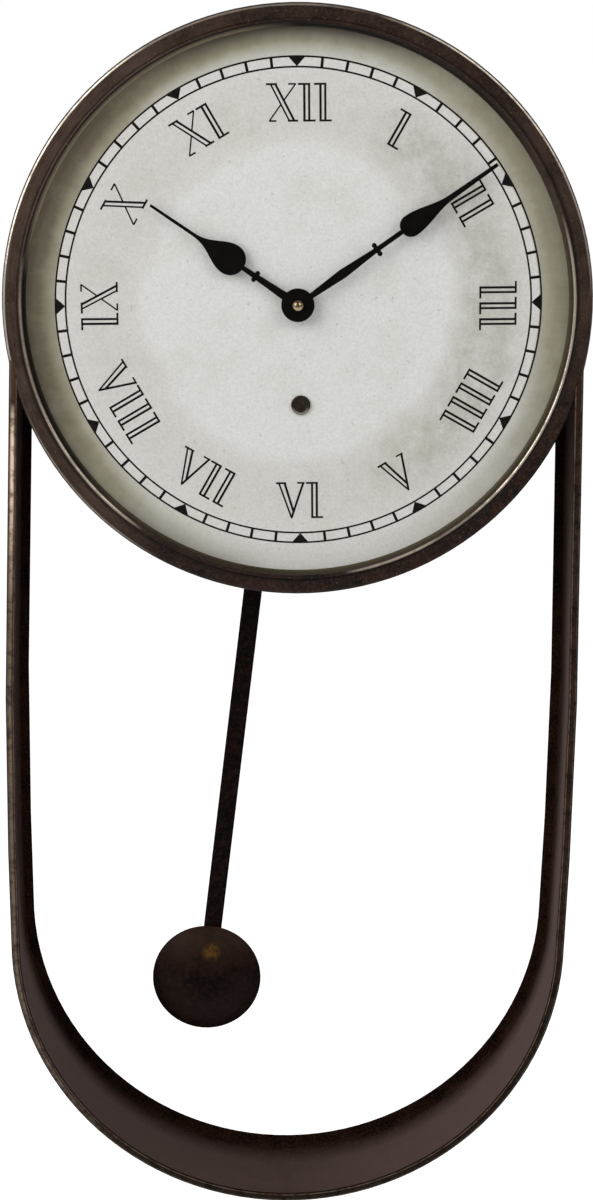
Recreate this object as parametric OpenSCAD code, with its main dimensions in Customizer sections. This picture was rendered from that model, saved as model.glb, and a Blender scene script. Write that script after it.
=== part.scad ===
// Wall clock with a round case, a U-shaped band hung from it and a pendulum.
// Every piece is drawn lying on its back: X to the right, Y up the dial and Z out from the wall,
// with the hands' axis at X = Y = 0. stand_up() then turns it upright with the keyhole at the origin.

/* [Case] */
// Diameter of the bezel
bezel_d = 356; // [340:1:380]
// Width of the bezel's rim around the dial
rim_w = 14; // [13.8:0.1:18]
// Depth from the wall to the front of the bezel
case_depth = 88; // [86:1:110]
// Distance of the keyhole below the top of the bezel
key_drop = 53; // [48:1:78]
// Thickness of the rolled sheet
sheet = 1.2; // [1:0.1:1.4]
// Depth of the dial behind the front of the bezel
dial_recess = 8; // [7:0.5:9]

/* [Band] */
// How far the band's bow stands in from the width of the bezel
band_inset = 2.1; // [1.8:0.1:3]
// Distance from the hands' axis down to the centre of the bow
leg_len = 407; // [380:1:480]
// How far the legs belly out beyond the bow's width
leg_belly = 2.1; // [1:0.1:3]
// Width of the lip along the front of the band
lip_w = 5.6; // [4:0.1:8]
// Width of the return along the back of the band
return_w = 7; // [5:0.5:10]
// How far the band's front stands behind the bezel's face
band_setback = 0; // [0:0.1:4]

/* [Hands] */
// Length of the minute hand from its axis
minute_len = 145.5; // [130:0.5:150]
// Length of the hour hand from its axis
hour_len = 106.5; // [90:0.5:115]
// Hour that the hands show
shown_hour = 10; // [0:1:11]
// Minute that the hands show
shown_minute = 9; // [0:1:59]
// Diameter of each hand's hub disc
hub_d = 20; // [16:0.5:24]

/* [Pendulum] */
// Height of the pendulum's pivot above the hands' axis
pivot_h = 55; // [53:1:57]
// Distance from the pivot to the centre of the bob
pend_len = 499; // [470:1:510]
// Angle at which the pendulum is drawn, to the left of the vertical
pend_tilt = 6; // [0:0.1:7]
// Diameter of the bob
bob_d = 70; // [60:1:76]
// Height of the bob's dome
bob_dome = 12; // [8:0.5:14]
// Width of the flat rod
rod_w = 11.5; // [8:0.5:12]

/* [Movement] */
// Width of the movement's housing
move_w = 58; // [58:1:62]
// Depth of the movement's rear housing
move_depth = 17.6; // [17.6:0.2:20]
// Module of the motion work's teeth
motion_m = 0.5; // [0.46:0.01:0.52]

/* [Hidden] */
// Levels, measured out from the wall
dial_front = case_depth - dial_recess;
board_t = 3;
dial_back = dial_front - board_t;
washer_t = 0.6;
plate_t = 2;
plate_front = dial_back - washer_t;
plate_back = plate_front - plate_t;
house_back = plate_back - move_depth;
house_wall = 1.5;
floor_z = house_back + house_wall;

// Case
bezel_r = bezel_d / 2;
dial_view_r = bezel_r - rim_w;
key_h = bezel_r - key_drop;
band_r = bezel_r - band_inset;
corner_r = 2.6;
face_fall = 0.8;
band_front = case_depth - face_fall - band_setback;
bead_out = 3.1;
bead_r = 1.3;
bead_fall = 0.9;
sill_w = 0.9;
sill_fall = 5;
skirt_t = 1.4;
skirt_gap = 0.2;
drum_r = bezel_r - skirt_t - skirt_gap;
drum_in = drum_r - sheet;
skirt_w = 14;
skirt_low = case_depth - skirt_w;
weld = 0.1;
over = 1;
band_corner_r = 1.6;
band_roll_r = 1.1;
leg_slope = 0.0195;
leg_path = [[0, -leg_len], [0.7 * leg_belly, 60 - leg_len], [leg_belly, 160 - leg_len],
    [leg_belly - leg_slope * (leg_len - 160), 0]];
slot_low = 44;
slot_high = 60;
slot_half = 36;
board_gap = 5.5;
board_r = bezel_r - board_gap;
rear_lip_w = 8.2;
clip_count = 6;
clip_w = 12;
clip_h = 16;
clip_t = 1.2;
clip_gap = 0.4;
strap_w = 28;
strap_t = 2;
strap_gap = 0.5;
key_r = 5;
key_slot = 5;
key_rise = 11;

// Hands
hand_t = 0.8;
arbor_r = 1.6;
pipe_r = 2.5;
fit = 0.05;
bush_r = 4;
hour_z = dial_front + 4;
minute_z = hour_z + 2.2;
hour_lag = 1.3;
hour_turn = 30 * shown_hour + shown_minute / 2 - hour_lag;
minute_turn = 6 * shown_minute;
cap_r = 3.7;
eyelet_r = 5.9;
eyelet_drop = 61.4;
dial_skew = 2.6;
eyelet_p = polar(eyelet_drop, dial_skew - 90);

// Movement
house_low = -43;
house_top = 67;
mid_z = floor_z + 9.9;
mid_t = 1.2;
pin_r = 0.75;
pin_depth = 0.9;
motion_z = plate_back - 3.6;
wheel_t = 1;
cannon_n = 10;
reverse_n = 30;
reverse_pinion_n = 8;
hour_n = 32;
setting_n = 20;
reverse_a = -30;
setting_a = -10;
reverse_p = polar(motion_m * (cannon_n + reverse_n) / 2, reverse_a);
setting_p = reverse_p + polar(motion_m * (reverse_n + setting_n) / 2, setting_a);

// Going train: a pinion of 8 drives each wheel
pinion_n = 8;
second_n = 40;
third_n = 48;
centre_n = 40;
second_m = 0.45;
third_m = 0.4;
centre_m = 0.5;
centre_z = floor_z + 7.6;
third_z = floor_z + 4.8;
second_z = floor_z + 1.8;
third_p = polar(centre_m * (pinion_n + centre_n) / 2, 135);
second_p = third_p + polar(third_m * (pinion_n + third_n) / 2, 60);
rotor_p = second_p + polar(second_m * (pinion_n + second_n) / 2, 0);
rotor_r = 3.2;
rotor_hole = 3.9;
stator_z = floor_z + 3.9;
stator_t = 1.2;
coil_x = 21.6;
coil_z = stator_z + stator_t + 0.6;
coil_r = 4.1;
pillars = [[-16, -10], [24, -1], [-12, 27]];
board_x = -27.2;
board_w = 7.8;
cell_r = 7.1;
cell_len = 49.5;
cell_y = -32.5;
cell_x = -0.6;
cell_z = floor_z + 7.6;
wall_y = -24.6;
drive_p = [0, 40];

// Pendulum
pin_axis_r = 1;
rod_t = 1.5;
leader_z = house_back - 4.4;
leader_t = 1.2;
leader_len = 46;
rod_z = leader_z - rod_t;
bob_gap = 0.3;
bob_back_z = leader_z + bob_gap;
bob_back_t = 1;
rod_top = 34;
rod_tail = 22;
hook_at = 40;

$fn = 96;

bronze = [0.2, 0.15, 0.12];
plastic = [0.13, 0.13, 0.14];
black = [0.05, 0.05, 0.05];
brass = [0.72, 0.58, 0.33];
steel = [0.68, 0.68, 0.7];
white_plastic = [0.88, 0.88, 0.85];

function polar(r, a) = [r * cos(a), r * sin(a)];
function arc(c, r, from, to, n = 8) = [for (i = [0:n]) c + polar(r, from + (to - from) * i / n)];
function radius(m, n) = m * n / 2;

// Turn of gear B that meshes it with gear A, whose centre it sees in direction a + 180
function meshed(a, turn_a, n_a, n_b) = a + 180 + ((a - turn_a) * n_a / 360 - 0.5) * 360 / n_b;

// The plan's wall side becomes the rear, and the keyhole's rear face the origin
module stand_up() {
    translate([0, sheet, -key_h]) rotate([90, 0, 0]) children();
}

module at(p, z) {
    translate([p[0], p[1], z]) children();
}

module ring(r_out, r_in, z, h) {
    translate([0, 0, z]) difference() {
        cylinder(r = r_out, h = h);
        translate([0, 0, -1]) cylinder(r = r_in, h = h + 2);
    }
}

module rounded_slab(x0, x1, y0, y1, r, h) {
    linear_extrude(h) {
        translate([x0 + r, y0]) square([x1 - x0 - 2 * r, y1 - y0]);
        translate([x0, y0 + r]) square([x1 - x0, y1 - y0 - 2 * r]);
        for (x = [x0 + r, x1 - r], y = [y0 + r, y1 - r]) translate([x, y]) circle(r = r, $fn = 32);
    }
}

// Straight-sided teeth, thinned at the pitch circle for backlash
module gear(m, n, h, turn = 0) {
    root = m * (n - 2.5) / 2;
    tip = m * (n + 1.6) / 2;
    pitch = 360 / n;
    teeth = [for (i = [0:n - 1]) let (a = turn + i * pitch) each [
        polar(root, a - 0.29 * pitch), polar(tip, a - 0.1 * pitch),
        polar(tip, a + 0.1 * pitch), polar(root, a + 0.29 * pitch)]];
    linear_extrude(h) polygon(teeth);
}

// Case

module case_drum() color(bronze) stand_up() difference() {
    union() {
        ring(drum_r, drum_in, 0, case_depth - corner_r - sheet);
        ring((drum_r + drum_in) / 2, drum_r - rear_lip_w, 0, sheet);
    }
    translate([-slot_half, -drum_r - over, slot_low]) cube([2 * slot_half, slot_half / 2, slot_high - slot_low]);
}

// Round edge of the bezel in section, enlarged by a gap
function bezel_edge(gap) = arc([bezel_r - corner_r, case_depth - face_fall - corner_r], corner_r + gap, 0, 80, 6);

// The front sheet rolls over the drum's edge, rises to a bead and steps down to the dial
module bezel() color(bronze) stand_up() {
    f = case_depth;
    r = bezel_r;
    v = dial_view_r;
    b = v + bead_out;
    t = skirt_t;
    bead_z = f - bead_fall;
    sill_z = f - sill_fall;
    outside = concat([[r, skirt_low]], bezel_edge(0),
        [[b + 1.8 * bead_r, f - face_fall / 2], [b + 1.14 * bead_r, bead_z]], arc([b, bead_z], bead_r, 0, 180, 10),
        [[b - 1.14 * bead_r, f - 2 * bead_r], [b - 1.5 * bead_r, sill_z + bead_r / 4]],
        [[v + sill_w, sill_z], [v + sill_w / 4, sill_z - sill_w / 2], [v, sill_z - 1.3 * sill_w]]);
    inside = [[v, dial_front], [v + t, dial_front], [v + t, sill_z - 1.3 * sill_w], [b - 1.4 * bead_r, sill_z - sill_w],
        [b - bead_r / 2, f - t - 1.5 * bead_r], [b + bead_r, f - t - bead_r / 1.5], [r - t - bead_r, f - face_fall - sill_w],
        [r - t, f - face_fall - corner_r], [r - t, skirt_low]];
    rotate_extrude($fn = 180) polygon(concat(outside, inside));
}

// Section of the band, from the back return round to the rolled edge of the front lip
module band_section() {
    r = band_r;
    c = band_corner_r;
    roll = band_roll_r;
    outside = concat([[r - return_w, 0]], arc([r - c, c], c, -90, 0, 5), arc([r - c, band_front - c], c, 0, 90, 5),
        arc([r - lip_w + roll, band_front - roll + 0.3], roll, 70, 270, 10));
    inside = concat([[r - c - 0.3, band_front - sheet]], arc([r - c, band_front - c], c - sheet, 90, 0, 3),
        arc([r - c, c], c - sheet, 0, -90, 3), [[r - return_w, sheet]]);
    polygon(concat(outside, inside));
}

// A leg from p up to q, cut level at both ends so that the next one meets it face to face
module leg_piece(p, q) {
    h = q[1] - p[1];
    lean = (q[0] - p[0]) / h;
    translate([p[0], q[1], 0]) multmatrix([[1, lean, 0, lean * h], [0, 1, 0, 0], [0, 0, 1, 0]])
        rotate([90, 0, 0]) linear_extrude(h) band_section();
}

// The band's top is scribed round the drum and over the bezel's round edge, so its lip runs on from the face
module band() color(bronze) stand_up() difference() {
    union() {
        translate([0, -leg_len, 0]) rotate([0, 0, 180]) rotate_extrude(angle = 180, $fn = 180) band_section();
        for (side = [0, 1], i = [1:len(leg_path) - 1]) mirror([side, 0, 0]) leg_piece(leg_path[i - 1], leg_path[i]);
    }
    translate([0, 0, -1]) cylinder(r = drum_r + weld, h = case_depth, $fn = 360);
    rotate_extrude($fn = 180) polygon(concat([[0, skirt_low - weld], [bezel_r + weld, skirt_low - weld]],
        bezel_edge(weld), [[bezel_r - corner_r, case_depth + over], [0, case_depth + over]]));
}

module hanger_strap() color(steel) stand_up() difference() {
    intersection() {
        translate([-bezel_r, key_h - strap_w / 2, sheet]) cube([bezel_d, strap_w, strap_t]);
        cylinder(r = drum_in - strap_gap, h = sheet + strap_t + over);
    }
    translate([0, key_h, 0]) cylinder(r = key_r, h = sheet + strap_t + over);
    translate([-key_slot / 2, key_h, 0]) cube([key_slot, key_rise - key_slot / 2, sheet + strap_t + over]);
    translate([0, key_h + key_rise - key_slot / 2, 0]) cylinder(d = key_slot, h = sheet + strap_t + over);
}

module dial_board() color([0.85, 0.84, 0.8]) stand_up() difference() {
    translate([0, 0, dial_back]) cylinder(r = board_r, h = board_t, $fn = 180);
    translate([0, 0, dial_back - 1]) cylinder(r = bush_r + 0.3, h = board_t + 2);
    at(eyelet_p, dial_back - 1) cylinder(r = eyelet_r - 1.1, h = board_t + 2);
}

// Angle clips welded inside the drum, whose feet press the board against the bezel
module dial_clips() color(steel) stand_up() {
    for (i = [0:clip_count - 1]) rotate([0, 0, 30 + i * 360 / clip_count]) {
        translate([drum_in - clip_gap - clip_t, -clip_w / 2, dial_back - clip_h]) cube([clip_t, clip_w, clip_h]);
        translate([drum_in - clip_w, -clip_w / 2, dial_back - clip_t]) cube([clip_w - clip_gap, clip_w, clip_t]);
    }
}

module winding_eyelet() color(bronze) stand_up() at(eyelet_p, 0) {
    rim = arc([eyelet_r - 0.8, dial_front + 0.9], 0.8, 0, 150, 8);
    dish = [[eyelet_r - 2.2, dial_front + 0.9], [0, dial_front + 0.6]];
    shank = [[0, dial_back + 0.4], [eyelet_r - 1.3, dial_back + 0.4], [eyelet_r - 1.3, dial_front], [eyelet_r, dial_front]];
    rotate_extrude() polygon(concat(rim, dish, shank));
}

// Movement

module movement_plate() color(plastic) stand_up() difference() {
    union() {
        translate([0, 0, plate_back]) rounded_slab(-move_w / 2, move_w / 2, house_low, house_top, 4, plate_t);
        at(reverse_p, motion_z - 1) cylinder(r = pin_r, h = plate_back - motion_z + 1.2, $fn = 32);
    }
    translate([0, 0, plate_back - 1]) cylinder(r = bush_r, h = plate_t + 2);
    at(setting_p, plate_back - 1) cylinder(r = 1.2 + fit, h = 1 + pin_depth, $fn = 32);
}

module movement_housing() color(plastic) stand_up() difference() {
    x = move_w / 2;
    union() {
        difference() {
            translate([0, 0, house_back]) rounded_slab(-x, x, house_low, house_top, 4, move_depth);
            translate([0, 0, floor_z]) rounded_slab(house_wall - x, x - house_wall,
                house_low + house_wall, house_top - house_wall, 2.5, move_depth);
        }
        translate([house_wall - x - 0.2, wall_y, floor_z - 0.2]) cube([2 * x - 2 * house_wall + 0.4, 1.1, move_depth - 2]);
        for (p = pillars) at(p, floor_z - 0.2) cylinder(r = 2, h = mid_z - floor_z + 0.2, $fn = 48);
        at([0, pivot_h], house_back - 1.2) cylinder(r = 3.5, h = 5, $fn = 48);
    }
    translate([house_wall - x + 1.6, house_low + house_wall, house_back - 1]) cube([2 * (x - house_wall - 1.6), 15.6, house_wall + 2]);
    for (p = [[0, 0], third_p, second_p, rotor_p]) at(p, floor_z - pin_depth) cylinder(r = pin_r + fit, h = 3, $fn = 32);
    at(setting_p, house_back - 1) cylinder(r = 1.2 + fit, h = 4, $fn = 32);
    at([0, pivot_h], house_back - 2) cylinder(r = pin_axis_r, h = 4.6, $fn = 32);
}

module middle_plate() color(white_plastic) stand_up() difference() {
    translate([-18.8, -13, mid_z]) cube([45.8, 43.5, mid_t]);
    translate([0, 0, mid_z - 1]) cylinder(r = arbor_r + 0.9, h = 4, $fn = 48);
    for (p = [third_p, second_p, rotor_p]) at(p, mid_z - 1) cylinder(r = pin_r + fit, h = 4, $fn = 32);
    at(setting_p, mid_z - 1) cylinder(r = 1.2 + fit, h = 4, $fn = 32);
}

module threaded_bushing() color(brass) stand_up() difference() {
    union() {
        translate([0, 0, plate_back]) cylinder(r = bush_r, h = dial_front + 3.4 - plate_back);
        translate([0, 0, plate_back - 0.6]) cylinder(r = bush_r + 1.2, h = 0.6);
    }
    translate([0, 0, plate_back - 2]) cylinder(r = pipe_r + fit, h = 20);
}

module dial_nut() color(brass) stand_up() difference() {
    translate([0, 0, dial_front + washer_t]) cylinder(d = 12.7, h = 2, $fn = 6);
    translate([0, 0, dial_front - 1]) cylinder(r = bush_r, h = 6);
}

module dial_washer() color(brass) stand_up() ring(7.2, bush_r + 0.1, dial_front, washer_t);

module rubber_washer() color(black) stand_up() ring(11, bush_r + 0.1, plate_front, washer_t);

module motor_coil() color([0.6, 0.3, 0.15]) stand_up() translate([coil_x, 9, coil_z]) rotate([-90, 0, 0]) difference() {
    union() {
        cylinder(r = coil_r - 0.5, h = 16, $fn = 48);
        for (y = [0, 15]) translate([0, 0, y]) cylinder(r = coil_r, h = 1, $fn = 48);
    }
    translate([-2.1, -0.6, -1]) cube([4.2, 1.2, 18]);
}

module motor_core() color(steel) stand_up() translate([coil_x - 2, 3.6, stator_z + stator_t]) cube([4, 27, 1.1]);

// A plate with the rotor's hole in its back and an arm to each end of the core
module stator() color(steel) stand_up() difference() {
    translate([rotor_p[0] - 5.4, 3.6, stator_z]) cube([coil_x + 2 - rotor_p[0] + 5.4, 27, stator_t]);
    translate([rotor_p[0] + 5.6, 8.4, stator_z - 1]) cube([20, 17.2, 4]);
    at(rotor_p, stator_z - 1) cylinder(r = rotor_hole, h = 4, $fn = 64);
}

module wheel_arbor(low, high) {
    translate([0, 0, low]) cylinder(r = pin_r, h = high - low, $fn = 32);
}

module rotor() color(steel) stand_up() at(rotor_p, 0) {
    wheel_arbor(floor_z - pin_depth + 0.3, mid_z + mid_t);
    translate([0, 0, floor_z + 1]) gear(second_m, pinion_n, 2.4, 0);
    translate([0, 0, floor_z + 3.4]) cylinder(r = rotor_r, h = 2.4, $fn = 48);
}

second_turn = meshed(180, 0, pinion_n, second_n);
third_turn = meshed(240, second_turn, pinion_n, third_n);
centre_turn = meshed(-45, third_turn, pinion_n, centre_n);

module second_wheel() color(white_plastic) stand_up() at(second_p, 0) {
    wheel_arbor(floor_z - pin_depth + 0.3, mid_z + mid_t);
    translate([0, 0, second_z]) gear(second_m, second_n, wheel_t, second_turn);
    translate([0, 0, second_z + wheel_t]) gear(third_m, pinion_n, 3.4, second_turn);
}

module third_wheel() color(white_plastic) stand_up() at(third_p, 0) {
    wheel_arbor(floor_z - pin_depth + 0.3, mid_z + mid_t);
    translate([0, 0, third_z]) gear(third_m, third_n, wheel_t, third_turn);
    translate([0, 0, third_z + wheel_t]) gear(centre_m, pinion_n, 3.2, third_turn);
}

// Rides on the minute arbor as a friction clutch
module centre_wheel() color(white_plastic) stand_up() translate([0, 0, centre_z]) difference() {
    union() {
        gear(centre_m, centre_n, wheel_t, centre_turn);
        cylinder(r = 3.2, h = wheel_t + 0.8, $fn = 48);
    }
    translate([0, 0, -1]) cylinder(r = arbor_r + fit, h = 4, $fn = 48);
}

cannon_turn = 90 - minute_turn;
reverse_turn = meshed(reverse_a, cannon_turn, cannon_n, reverse_n);
hour_wheel_turn = meshed(reverse_a + 180, reverse_turn, reverse_pinion_n, hour_n);
setting_turn = meshed(setting_a, reverse_turn, reverse_n, setting_n);

module minute_arbor() color(brass) stand_up() {
    translate([0, 0, floor_z - pin_depth + 0.3]) cylinder(r = pin_r, h = 2, $fn = 32);
    translate([0, 0, floor_z + 0.8]) cylinder(r = arbor_r, h = minute_z + hand_t + 1.6 - floor_z - 0.8, $fn = 64);
    translate([0, 0, motion_z - 1]) gear(motion_m, cannon_n, 2.2, cannon_turn);
}

module reverse_wheel() color(white_plastic) stand_up() at(reverse_p, 0) difference() {
    union() {
        translate([0, 0, motion_z]) gear(motion_m, reverse_n, wheel_t, reverse_turn);
        translate([0, 0, motion_z + wheel_t]) gear(motion_m, reverse_pinion_n, 2.2, reverse_turn);
    }
    translate([0, 0, motion_z - 1]) cylinder(r = pin_r + fit, h = 6, $fn = 32);
}

module hour_wheel() color(white_plastic) stand_up() difference() {
    union() {
        translate([0, 0, motion_z + 1.8]) gear(motion_m, hour_n, wheel_t, hour_wheel_turn);
        translate([0, 0, motion_z + 1.8]) cylinder(r = pipe_r, h = hour_z + hand_t + 0.2 - motion_z - 1.8);
    }
    translate([0, 0, motion_z]) cylinder(r = arbor_r + fit, h = 30, $fn = 64);
}

module setting_wheel() color(white_plastic) stand_up() at(setting_p, 0) {
    translate([0, 0, motion_z]) gear(motion_m, setting_n, wheel_t, setting_turn);
    translate([0, 0, house_back - 2]) cylinder(r = 1.2, h = plate_back + pin_depth - 0.3 - house_back + 2, $fn = 32);
}

// Round knob with a scalloped rim, pressed on the stem at the back of the housing
module setting_knob() color(plastic) stand_up() at(setting_p, house_back - 5.4) difference() {
    cylinder(r = 5.4, h = 5, $fn = 64);
    for (i = [0:11]) rotate([0, 0, i * 30]) translate([6.2, 0, -1]) cylinder(r = 1.3, h = 7, $fn = 24);
    translate([0, 0, 3.4]) cylinder(r = 1.2, h = 3, $fn = 32);
}

// Hands

// Half width of a spade hand at s from its axis: a round base of radius w, then a hollow taper to the needle
function spade(s, base, w, end, needle, hollow) =
    let (u = (s - base - w) / (end - base - w))
    s < base + w ? sqrt(max(0, w * w - pow(base + w - s, 2))) :
    needle + (w - needle) * pow(0.5 + 0.5 * cos(180 * u), hollow);

module spade_blade(base, w, end, needle, hollow) {
    steps = 28;
    s = [for (i = [0:steps]) base + (end - base) * pow(i / steps, 1.3)];
    right = [for (v = s) [spade(v, base, w, end, needle, hollow), v]];
    left = [for (i = [steps:-1:1]) [-right[i][0], right[i][1]]];
    polygon(concat(right, left));
}

module cross_bar(at_s, half, r) {
    translate([-half + r, at_s - r * 0.8]) square([2 * (half - r), 1.6 * r]);
    for (x = [-half + r, half - r]) translate([x, at_s]) circle(r = r, $fn = 24);
    translate([0, at_s]) circle(r = 1.5 * r, $fn = 24);
}

module hour_hand() color(black) stand_up() translate([0, 0, hour_z]) rotate([0, 0, -hour_turn]) difference() {
    linear_extrude(hand_t) {
        circle(d = hub_d);
        polygon([[-2.6, 8], [2.6, 8], [1.7, 31], [1.4, 42], [-1.4, 42], [-1.7, 31]]);
        cross_bar(30.6, 3.7, 1.4);
        spade_blade(39.5, 9.5, 77, 1, 1.4);
        polygon([[-1.02, 76], [1.02, 76], [0.8, hour_len], [-0.8, hour_len]]);
    }
    translate([0, 0, -1]) cylinder(r = pipe_r, h = 4);
}

module minute_hand() color(black) stand_up() translate([0, 0, minute_z]) rotate([0, 0, -minute_turn]) difference() {
    linear_extrude(hand_t) {
        circle(d = hub_d);
        polygon([[-1.6, 8], [1.6, 8], [2.9, 33], [1.5, 57], [1.4, 80], [-1.4, 80], [-1.5, 57], [-2.9, 33]]);
        cross_bar(58, 4.5, 1.5);
        spade_blade(76, 6.7, 112, 1.7, 1);
        polygon([[-1.75, 110], [1.75, 110], [1.1, minute_len], [-1.1, minute_len]]);
    }
    translate([0, 0, -1]) cylinder(r = arbor_r, h = 4);
}

module cap_nut() color(brass) stand_up() translate([0, 0, minute_z + hand_t]) difference() {
    rotate_extrude() polygon(concat([[0, 0], [cap_r, 0]], arc([0, 0.8], cap_r, 0, 90, 12)));
    translate([0, 0, -1]) cylinder(r = arbor_r, h = 2.6, $fn = 64);
}

// Power and pendulum drive

module battery_cell() color([0.16, 0.16, 0.17]) stand_up() translate([cell_x - cell_len / 2, cell_y, cell_z]) rotate([0, 90, 0]) {
    cylinder(r = cell_r, h = cell_len, $fn = 64);
    translate([0, 0, cell_len]) cylinder(r = 2.7, h = 1, $fn = 48);
}

module contact_plus() color(steel) stand_up() translate([cell_x + cell_len / 2 + 1, cell_y - 4.5, floor_z + 2]) cube([0.5, 9, 12]);

// Bent leaf that presses on the cell's flat end
module contact_minus() color(steel) stand_up() translate([0, cell_y + 4, floor_z + 2]) rotate([90, 0, 0]) linear_extrude(8) {
    x = cell_x - cell_len / 2;
    polygon([[-27.4, 0], [-26.9, 0], [-26.9, 9], [x - 0.5, 5.5], [x, 5.5], [x, 6.1], [-26.6, 9.7], [-27.4, 9.7]]);
}

module circuit_board() color([0.1, 0.3, 0.18]) stand_up() translate([board_x, -20, floor_z + 1.6]) cube([board_w, 64, 1.2]);

module quartz_crystal() color(steel) stand_up() translate([board_x + 5.6, 22, floor_z + 4.3]) rotate([-90, 0, 0]) cylinder(r = 1.5, h = 8, $fn = 32);

module chip_cover() color(black) stand_up() translate([board_x + 3.6, 10, floor_z + 2.8]) cylinder(r1 = 3, r2 = 2.2, h = 1.3, $fn = 32);

module drive_coil() color([0.6, 0.3, 0.15]) stand_up() at(drive_p, floor_z + 0.4) difference() {
    union() {
        cylinder(r = 7.4, h = 6.4);
        for (z = [0, 5.6]) translate([0, 0, z]) cylinder(r = 8.4, h = 0.8);
    }
    translate([0, 0, -1]) cylinder(r = 2.6, h = 9, $fn = 48);
}

module pivot_pin() color(steel) stand_up() at([0, pivot_h], 0) {
    translate([0, 0, leader_z - 3.2]) cylinder(r = pin_axis_r, h = house_back + 2.4 - leader_z + 3.2, $fn = 32);
    translate([0, 0, leader_z - 4]) cylinder(r = 2.2, h = 0.8, $fn = 32);
}

// Pendulum: drawn hanging straight down from its pivot, then swung to the photographed side
module swing() {
    stand_up() at([0, pivot_h], 0) rotate([0, 0, -pend_tilt]) children();
}

module pendulum_leader() color(steel) swing() difference() {
    union() {
        translate([0, 0, leader_z - 2.8]) cylinder(r = 3.2, h = house_back - 1.6 - leader_z + 2.8, $fn = 48);
        translate([-4.5, -leader_len, leader_z]) cube([9, leader_len, leader_t]);
        translate([-1.9, -hook_at - 0.8, rod_z - 0.3]) cube([3.8, 1.6, rod_t + 0.4]);
        translate([-1.9, -hook_at - 0.8, rod_z - 1.3]) cube([3.8, 4, 1]);
    }
    translate([0, 0, leader_z - 5]) cylinder(r = pin_axis_r + fit, h = 12, $fn = 32);
}

module leader_magnet() color(steel) swing() at([0, drive_p[1] - pivot_h], leader_z + leader_t) cylinder(r = 4, h = 2.2, $fn = 48);

module pendulum_rod() color(bronze) swing() difference() {
    translate([-rod_w / 2, -pend_len - rod_tail, rod_z]) cube([rod_w, pend_len + rod_tail - rod_top, rod_t]);
    translate([-2.1, -hook_at - 1, rod_z - 1]) cube([4.2, 4.6, rod_t + 2]);
}

// Dome of a sphere cap on a short rim, pressed from sheet
module pendulum_bob() color(bronze) swing() at([0, -pend_len], bob_back_z + bob_back_t) {
    r = bob_d / 2;
    rim = 0.8;
    ball = (r * r + bob_dome * bob_dome) / (2 * bob_dome);
    half = asin(r / ball);
    c = [0, rim + bob_dome - ball];
    outside = concat([[r, 0]], arc(c, ball, 90 - half, 90, 18));
    inside = concat([[0, rim + bob_dome - sheet]], arc(c, ball - sheet, 90, 91 - half, 17), [[r - sheet, rim], [r - sheet, 0]]);
    rotate_extrude() polygon(concat(outside, inside));
}

module bob_back() color(bronze) swing() at([0, -pend_len], bob_back_z) cylinder(r = bob_d / 2 - 0.8, h = bob_back_t);

// Guide on the bob's back that the rod slides in
module bob_clip() color(steel) swing() at([0, -pend_len], 0) difference() {
    translate([-rod_w / 2 - 3, -7, rod_z - 2]) cube([rod_w + 6, 14, bob_back_z - rod_z + 2]);
    translate([-rod_w / 2 - 0.2, -8, rod_z - 0.3]) cube([rod_w + 0.4, 16, 10]);
    translate([0, 0, rod_z - 3]) cylinder(r = 1.5, h = 4, $fn = 32);
}

module bob_screw() color(steel) swing() at([0, -pend_len], 0) {
    translate([0, 0, rod_z - 5]) cylinder(r = 1.5, h = 5, $fn = 32);
    translate([0, 0, rod_z - 6]) cylinder(r = 4, h = 3, $fn = 48);
}

case_drum();
bezel();
band();
hanger_strap();
dial_board();
dial_clips();
winding_eyelet();
movement_plate();
movement_housing();
middle_plate();
threaded_bushing();
dial_nut();
dial_washer();
rubber_washer();
motor_coil();
motor_core();
stator();
rotor();
second_wheel();
third_wheel();
centre_wheel();
minute_arbor();
reverse_wheel();
hour_wheel();
setting_wheel();
setting_knob();
hour_hand();
minute_hand();
cap_nut();
battery_cell();
contact_plus();
contact_minus();
circuit_board();
quartz_crystal();
chip_cover();
drive_coil();
pivot_pin();
pendulum_leader();
leader_magnet();
pendulum_rod();
pendulum_bob();
bob_back();
bob_clip();
bob_screw();
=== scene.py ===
import math
import bpy
from mathutils import Matrix, Vector


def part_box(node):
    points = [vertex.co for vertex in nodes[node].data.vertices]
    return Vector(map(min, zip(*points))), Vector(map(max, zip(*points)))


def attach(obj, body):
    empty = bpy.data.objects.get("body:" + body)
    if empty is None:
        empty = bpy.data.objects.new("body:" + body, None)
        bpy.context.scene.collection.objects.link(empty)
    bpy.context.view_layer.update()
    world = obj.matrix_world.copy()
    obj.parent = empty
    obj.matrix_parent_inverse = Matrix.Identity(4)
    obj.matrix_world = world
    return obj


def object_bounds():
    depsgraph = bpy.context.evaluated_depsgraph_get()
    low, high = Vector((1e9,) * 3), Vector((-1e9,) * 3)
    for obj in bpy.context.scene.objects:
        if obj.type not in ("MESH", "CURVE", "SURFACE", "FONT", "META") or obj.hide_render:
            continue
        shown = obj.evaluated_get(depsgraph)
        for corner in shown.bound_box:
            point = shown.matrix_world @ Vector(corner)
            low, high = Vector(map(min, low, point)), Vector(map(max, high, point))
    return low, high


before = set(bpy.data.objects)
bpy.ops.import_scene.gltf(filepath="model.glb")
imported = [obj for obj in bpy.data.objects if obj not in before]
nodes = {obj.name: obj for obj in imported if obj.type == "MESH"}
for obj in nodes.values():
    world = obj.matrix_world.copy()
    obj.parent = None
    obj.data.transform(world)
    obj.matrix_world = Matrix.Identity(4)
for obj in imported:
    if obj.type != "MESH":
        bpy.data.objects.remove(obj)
cadLow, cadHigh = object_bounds()
print("frame loaded:", len(nodes), "nodes")

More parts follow.
